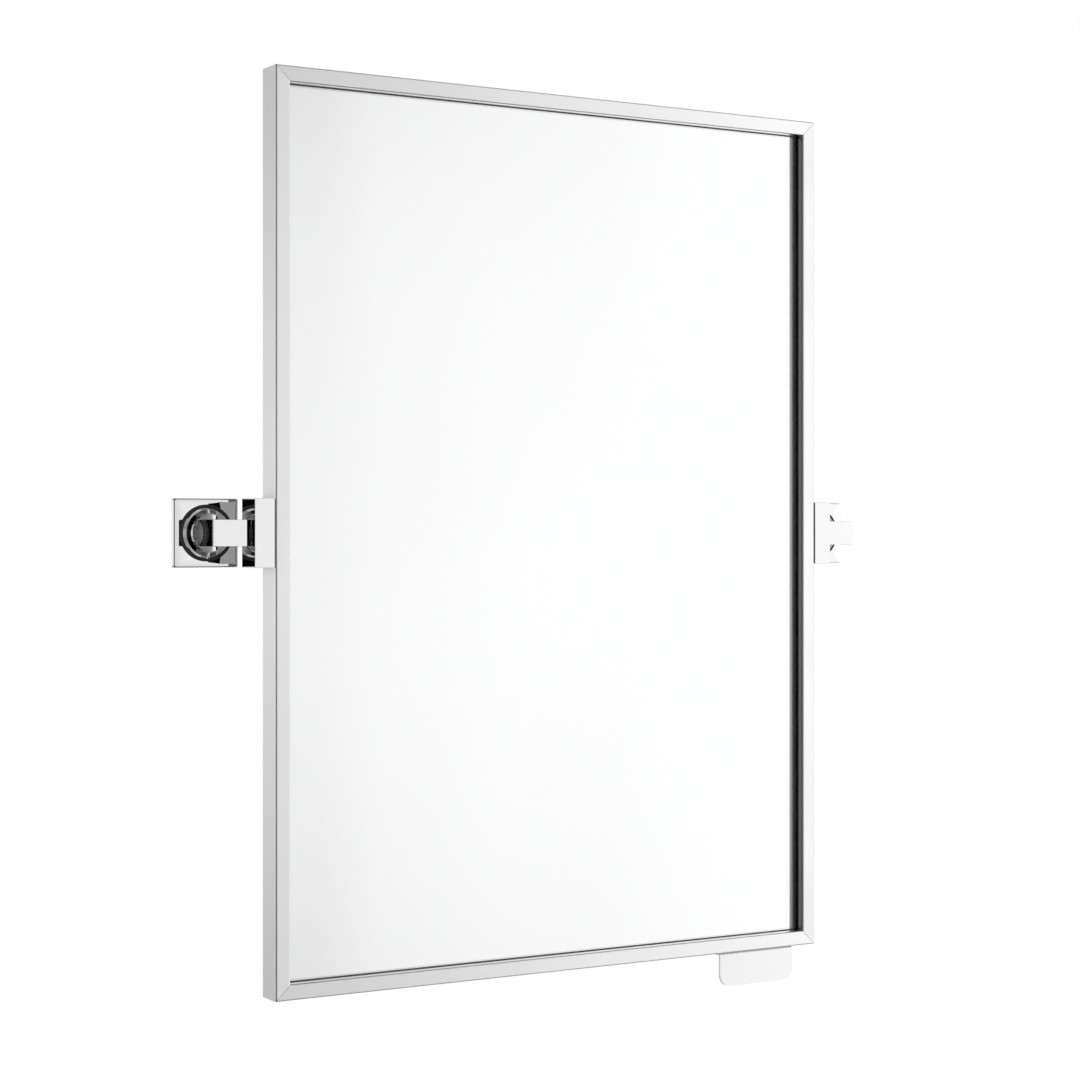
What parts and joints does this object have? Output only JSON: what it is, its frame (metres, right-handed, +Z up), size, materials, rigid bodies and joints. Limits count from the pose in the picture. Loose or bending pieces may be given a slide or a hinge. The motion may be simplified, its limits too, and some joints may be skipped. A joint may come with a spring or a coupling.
{
  "type": "pivot wall mirror",
  "caption": "Rectangular mirror in a mitred brushed steel frame that tilts between two chromed wall brackets, with a sheet-metal tab at its foot to tilt it by.",
  "frame": {"origin": "on the wall plane, midway between the two brackets, at the height of the pivot axis", "axes": "+X to the right seen from the front, +Y back into the wall, +Z up; the mirror faces -Y"},
  "size_m": [0.626, 0.05, 0.728],
  "materials": {
    "frame_steel": "fine brushed along each rail",
    "clear_glass": "clear polished float glass",
    "silvered_coat": "silvered, with a grey protective coat behind",
    "white_foam": "closed-cell foam",
    "galvanised_steel": "zinc-coated sheet with a faint spangle",
    "black_rubber": "matt black",
    "bright_chrome": "polished chrome plate",
    "white_nylon": "natural nylon",
    "black_nylon": "black nylon, lightly grained",
    "inner_steel": "zinc-plated steel",
    "spring_steel": "bare spring steel",
    "screw_steel": "stainless steel"
  },
  "bodies": {
    "wall_brackets": {"left_wall_base": "inner_steel", "left_wall_cover": "bright_chrome", "left_rosette_seal": "black_rubber", "left_rosette": "bright_chrome", "left_arm": "bright_chrome", "left_arm_grub": "screw_steel", "left_pivot_pin": "screw_steel", "left_disc_spring": "spring_steel", "left_washer": "screw_steel", "left_lock_nut": "screw_steel", "right_wall_base": "inner_steel", "right_wall_cover": "bright_chrome", "right_rosette_seal": "black_rubber", "right_rosette": "bright_chrome", "right_arm": "bright_chrome", "right_arm_grub": "screw_steel", "right_pivot_pin": "screw_steel", "right_disc_spring": "spring_steel", "right_washer": "screw_steel", "right_lock_nut": "screw_steel"},
    "mirror": {"top_rail": "frame_steel", "bottom_rail": "frame_steel", "left_stile": "frame_steel", "right_stile": "frame_steel", "corner_keys": "inner_steel", "key_set_screws": "screw_steel", "glazing_tape": "black_rubber", "mirror_glass": "clear_glass", "silvering": "silvered_coat", "foam_sheet": "white_foam", "back_panel": "galvanised_steel", "spring_clips": "spring_steel", "handle_tab": "frame_steel", "tab_screws": "screw_steel", "tab_nut_strip": "inner_steel", "left_stiffener": "inner_steel", "left_block_screws": "screw_steel", "left_gasket": "black_rubber", "left_pivot_block": "bright_chrome", "left_bush": "white_nylon", "left_friction_washer": "black_nylon", "right_stiffener": "inner_steel", "right_block_screws": "screw_steel", "right_gasket": "black_rubber", "right_pivot_block": "bright_chrome", "right_bush": "white_nylon", "right_friction_washer": "black_nylon"}
  },
  "joints": [
    {"name": "mirror_tilt", "type": "hinge", "parent": "wall_brackets", "child": "mirror", "pos_m": [0, -0.0375, 0], "axis": [1, 0, 0], "range_deg": [-4, 4]}
  ]
}
